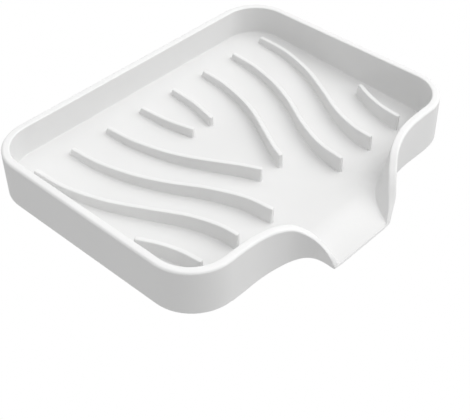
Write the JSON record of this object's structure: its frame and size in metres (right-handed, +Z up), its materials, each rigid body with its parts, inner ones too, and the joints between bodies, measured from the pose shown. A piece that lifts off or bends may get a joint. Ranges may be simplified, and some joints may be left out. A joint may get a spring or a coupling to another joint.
{
  "type": "soap tray",
  "caption": "Rectangular self-draining silicone soap tray with a rounded rim, wavy ribs on a sloping floor and a down-turned pouring lip.",
  "frame": {"origin": "centre of the rectangular body on its base plane, so the lip reaches below z = 0 in front of it", "axes": "+X along the long side, +Y towards the back wall with the lip pointing to -Y, +Z up out of the basin"},
  "size_m": [0.13, 0.1066, 0.0224],
  "materials": {
    "silicone": "matte"
  },
  "bodies": {
    "root": {"tray_floor": "silicone", "back_wall": "silicone", "spout_floor": "silicone", "back_corner_left": "silicone", "front_corner_left": "silicone", "spout_cheek_left": "silicone", "back_corner_right": "silicone", "front_corner_right": "silicone", "spout_cheek_right": "silicone", "left_wall": "silicone", "right_wall": "silicone", "outer_rib_left": "silicone", "middle_rib_left": "silicone", "inner_rib_left": "silicone", "short_rib_left": "silicone", "corner_rib_left": "silicone", "outer_rib_right": "silicone", "middle_rib_right": "silicone", "inner_rib_right": "silicone", "short_rib_right": "silicone", "corner_rib_right": "silicone"}
  },
  "joints": []
}
